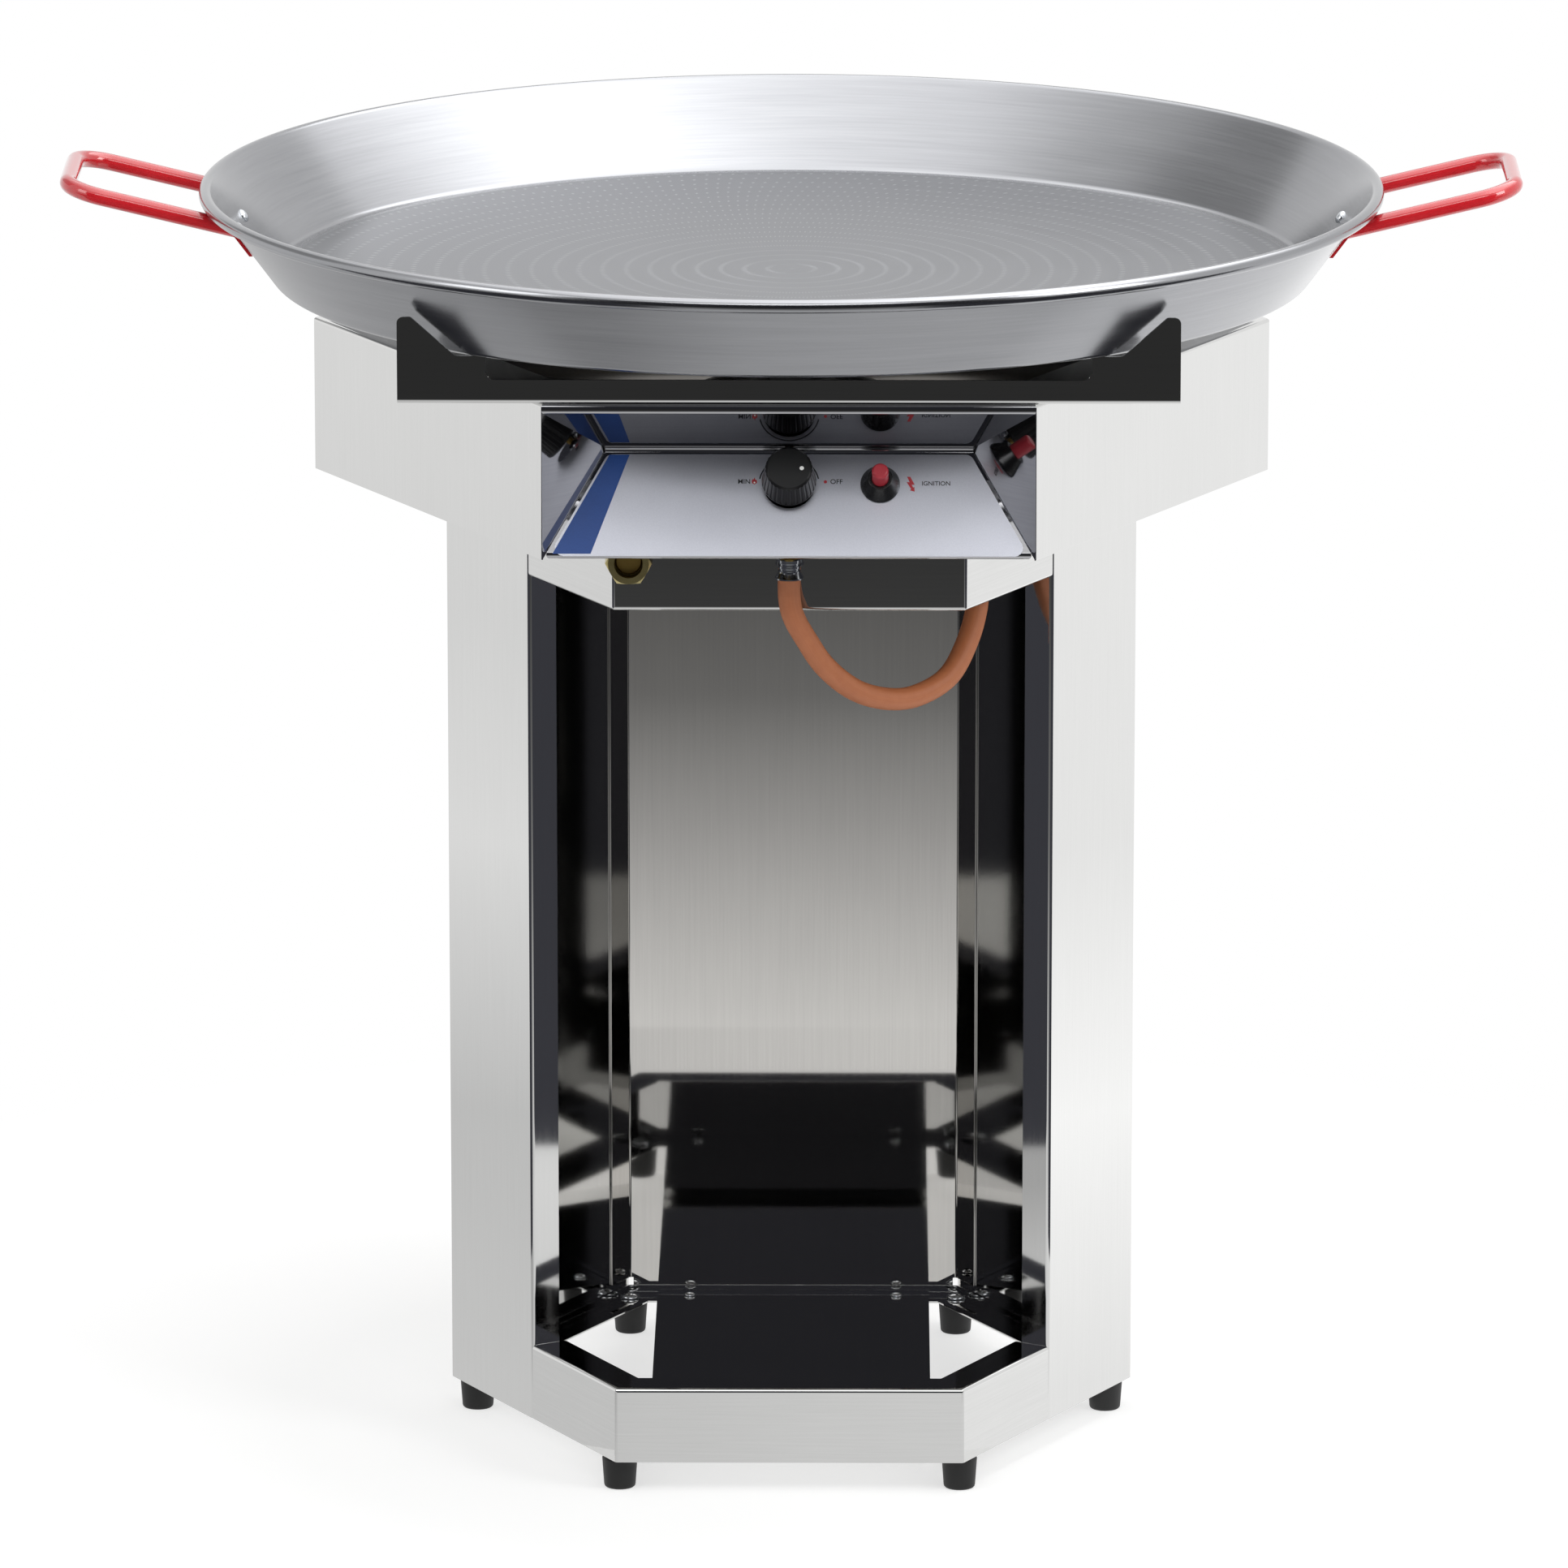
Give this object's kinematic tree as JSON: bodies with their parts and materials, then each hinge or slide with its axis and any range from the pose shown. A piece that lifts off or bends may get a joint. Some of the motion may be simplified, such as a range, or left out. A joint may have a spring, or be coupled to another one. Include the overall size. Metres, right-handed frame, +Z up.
{
  "type": "gas paella burner",
  "caption": "Free-standing gas paella burner: open-fronted hexagonal steel stand, burner box with a folded control recess, push-and-turn tap, piezo igniter, star burner and a wide lift-off pan.",
  "frame": {"origin": "on the floor under the middle of the stand, in the plane of the feet", "axes": "+Z up, front with the controls towards -Y, +X to the right along the line of the pan's two handles"},
  "size_m": [0.984, 0.8, 0.8755],
  "materials": {
    "side_sheet": "pale satin stainless sheet",
    "back_sheet": "upright brushed stainless sheet",
    "front_sheet": "polished stainless sheet",
    "inner_sheet": "stainless sheet",
    "floor_sheet": "polished stainless sheet",
    "fasteners": "bright steel",
    "foot_rubber": "matt black rubber",
    "box_sheet": "pale satin stainless sheet",
    "recess_sheet": "polished stainless sheet",
    "label_face": "brushed silver plate with printed marks",
    "support_sheet": "polished stainless strip",
    "burner_steel": "plain steel tube",
    "burner_iron": "sand-cast iron",
    "ceramic": "glazed white ceramic",
    "lead_rubber": "black insulation",
    "copper": "copper",
    "brass": "machined brass",
    "nut_plate": "yellow-passivated plating",
    "knob_plastic": "satin black plastic",
    "igniter_plastic": "satin black plastic",
    "button_plastic": "glossy red plastic",
    "ferrule_steel": "polished steel",
    "hose_rubber": "smooth orange-brown rubber",
    "pan_steel": "polished carbon-steel sheet",
    "handle_enamel": "glossy red enamel"
  },
  "bodies": {
    "stand": {"left_side_panel": "side_sheet", "right_side_panel": "side_sheet", "back_panel": "back_sheet", "front_rim": "front_sheet", "front_collar": "front_sheet", "base_ring": "inner_sheet", "top_ring": "inner_sheet", "box_floor": "inner_sheet", "floor_plate": "floor_sheet", "floor_plate_screws": "fasteners", "foot_bolts": "fasteners", "box_screws": "fasteners", "support_screws": "fasteners", "tap_screws": "fasteners", "foot_1": "foot_rubber", "foot_2": "foot_rubber", "foot_3": "foot_rubber", "foot_4": "foot_rubber", "foot_5": "foot_rubber", "foot_6": "foot_rubber", "burner_box_wall": "box_sheet", "control_recess": "recess_sheet", "control_label": "label_face", "front_support": "support_sheet", "rear_support": "support_sheet", "burner_bar": "burner_steel", "mixer_tube": "burner_steel", "electrode_bracket": "burner_steel", "burner_arm_1": "burner_steel", "burner_arm_2": "burner_steel", "burner_arm_3": "burner_steel", "burner_arm_4": "burner_steel", "burner_arm_5": "burner_steel", "burner_arm_6": "burner_steel", "burner_hub": "burner_iron", "burner_cap": "burner_iron", "spark_electrode": "ceramic", "ignition_lead": "lead_rubber", "thermocouple": "copper", "thermocouple_lead": "copper", "burner_inlet_elbow": "brass", "tap_body": "brass", "tap_bonnet": "brass", "outlet_nozzle": "brass", "inlet_pipe": "brass", "igniter_body": "igniter_plastic", "igniter_collar": "igniter_plastic", "front_ferrule": "ferrule_steel", "rear_ferrule": "ferrule_steel", "gas_hose": "hose_rubber"},
    "pan": {"pan_bowl": "pan_steel", "left_handle": "handle_enamel", "right_handle": "handle_enamel", "handle_rivets": "fasteners"},
    "tap_plug": {"tap_plug": "brass"},
    "knob": {"tap_stem": "brass", "control_knob": "knob_plastic"},
    "igniter_button": {"igniter_button": "button_plastic"},
    "inlet_nut": {"inlet_nut": "nut_plate"}
  },
  "joints": [
    {"name": "pan_lift", "type": "slide", "parent": "stand", "child": "pan", "axis": [0, 0, 1], "range_m": [0, 0.2]},
    {"name": "tap_turn", "type": "hinge", "parent": "stand", "child": "tap_plug", "pos_m": [0, -0.2494, 0.70908], "axis": [0, -0.8163, 0.5777], "range_deg": [0, 180]},
    {"name": "knob_push", "type": "slide", "parent": "tap_plug", "child": "knob", "axis": [0, 0.8163, -0.5777], "range_m": [0, 0.003], "stiffness_N_per_m": 1500},
    {"name": "igniter_press", "type": "slide", "parent": "stand", "child": "igniter_button", "axis": [0, 0.8163, -0.5777], "range_m": [0, 0.007], "stiffness_N_per_m": 1500},
    {"name": "nut_swivel", "type": "hinge", "parent": "stand", "child": "inlet_nut", "pos_m": [-0.106, -0.24816, 0.655], "axis": [0, 1, 0], "continuous": true}
  ]
}
